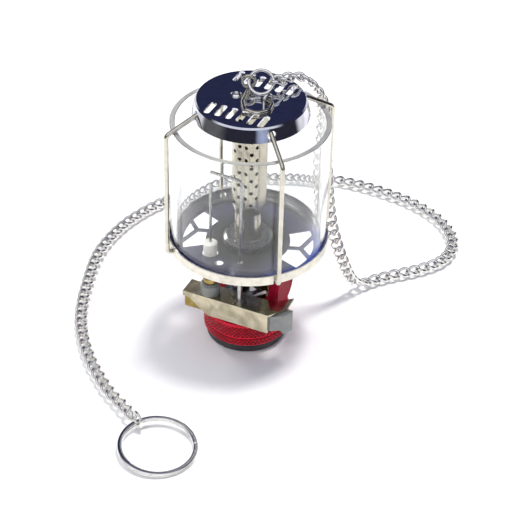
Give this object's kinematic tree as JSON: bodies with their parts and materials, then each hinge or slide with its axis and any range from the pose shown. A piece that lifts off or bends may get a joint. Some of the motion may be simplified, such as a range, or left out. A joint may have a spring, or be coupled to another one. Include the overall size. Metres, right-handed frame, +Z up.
{
  "type": "gas lantern",
  "caption": "Compact gas lantern with slotted hood, wire posts, clear glass, perforated burner tube, side valve knob, push igniter and a hanging curb chain with key ring.",
  "frame": {"origin": "centre of the foot ring's lower face, on the lantern's axis", "axes": "+Z up through the hood, +X along the hood's slot rows towards the valve knob, -Y towards the igniter bracket"},
  "size_m": [0.1407, 0.2104, 0.1154],
  "materials": {
    "black_plastic": "matt black moulded plastic",
    "red_anodised": "red anodised, knurled",
    "black_rubber": "smooth seal rubber",
    "brass": "turned brass",
    "nickel": "nickel plated",
    "steel": "bright steel wire",
    "red_knob": "red anodised, satin",
    "pan_chrome": "polished pressed sheet",
    "satin_steel": "satin stainless",
    "burner_steel": "pressed stainless sheet",
    "dark_gauze": "heat darkened steel gauze",
    "clear_glass": "clear heat resistant glass",
    "hood_chrome": "polished pressed sheet",
    "chain_chrome": "bright plated",
    "bracket_chrome": "polished folded sheet",
    "grey_plastic": "matt grey moulded plastic",
    "grey_rubber": "grey insulating boot",
    "white_ceramic": "white fired ceramic"
  },
  "bodies": {
    "lantern": {"foot_ring": "black_plastic", "collar": "red_anodised", "seal_ring": "black_rubber", "probe_pin": "brass", "valve_body": "nickel", "bracket_nut": "nickel", "gland_nut": "brass", "jet": "brass", "mixer_tube": "nickel", "base_pan": "pan_chrome", "base_ring": "satin_steel", "burner_hub": "nickel", "burner_tube": "burner_steel", "burner_gauze": "dark_gauze", "burner_plug": "burner_steel", "glass_globe": "clear_glass", "hood": "hood_chrome", "hood_rivet": "steel", "hood_staple": "steel", "hanger_hook": "chain_chrome", "jump_ring": "chain_chrome", "chain_hanging": "chain_chrome", "chain_rear": "chain_chrome", "chain_front": "chain_chrome", "end_ring": "chain_chrome", "igniter_bracket": "bracket_chrome", "piezo_case": "brass", "piezo_guide": "black_plastic", "electrode_boot": "grey_rubber", "electrode_ferrule": "brass", "electrode_ceramic": "white_ceramic", "electrode_rod": "steel", "ground_post": "steel", "ground_wire": "steel"},
    "knob": {"spindle": "steel", "control_knob": "red_knob", "knob_screw": "steel", "knob_cap": "red_knob"},
    "button": {"igniter_button": "grey_plastic"},
    "post_rear_right_body": {"post_rear_right": "satin_steel"},
    "post_rear_left_body": {"post_rear_left": "satin_steel"},
    "post_front_left_body": {"post_front_left": "satin_steel"},
    "post_front_right_body": {"post_front_right": "satin_steel"},
    "key_ring_body": {"key_ring": "chain_chrome"}
  },
  "joints": [
    {"name": "knob_turn", "type": "hinge", "parent": "lantern", "child": "knob", "pos_m": [0.0146, 0, 0.0266], "axis": [1, 0, 0], "range_deg": [0, 540]},
    {"name": "igniter_press", "type": "slide", "parent": "lantern", "child": "button", "axis": [-1, 0, 0], "range_m": [0, 0.004], "stiffness_N_per_m": 800},
    {"name": "post_rear_right_swing", "type": "hinge", "parent": "lantern", "child": "post_rear_right_body", "pos_m": [0.015, 0.015, 0.105], "axis": [0.7071, -0.7071, 0], "range_deg": [0, 25]},
    {"name": "post_rear_left_swing", "type": "hinge", "parent": "lantern", "child": "post_rear_left_body", "pos_m": [-0.015, 0.015, 0.105], "axis": [0.7071, 0.7071, 0], "range_deg": [0, 25]},
    {"name": "post_front_left_swing", "type": "hinge", "parent": "lantern", "child": "post_front_left_body", "pos_m": [-0.015, -0.015, 0.105], "axis": [-0.7071, 0.7071, 0], "range_deg": [0, 25]},
    {"name": "post_front_right_swing", "type": "hinge", "parent": "lantern", "child": "post_front_right_body", "pos_m": [0.015, -0.015, 0.105], "axis": [-0.7071, -0.7071, 0], "range_deg": [0, 25]},
    {"name": "key_ring_lift", "type": "hinge", "parent": "lantern", "child": "key_ring_body", "pos_m": [-0.01093, -0.07277, 0.0032], "axis": [-0.53, -0.848, 0], "range_deg": [0, 90]}
  ]
}
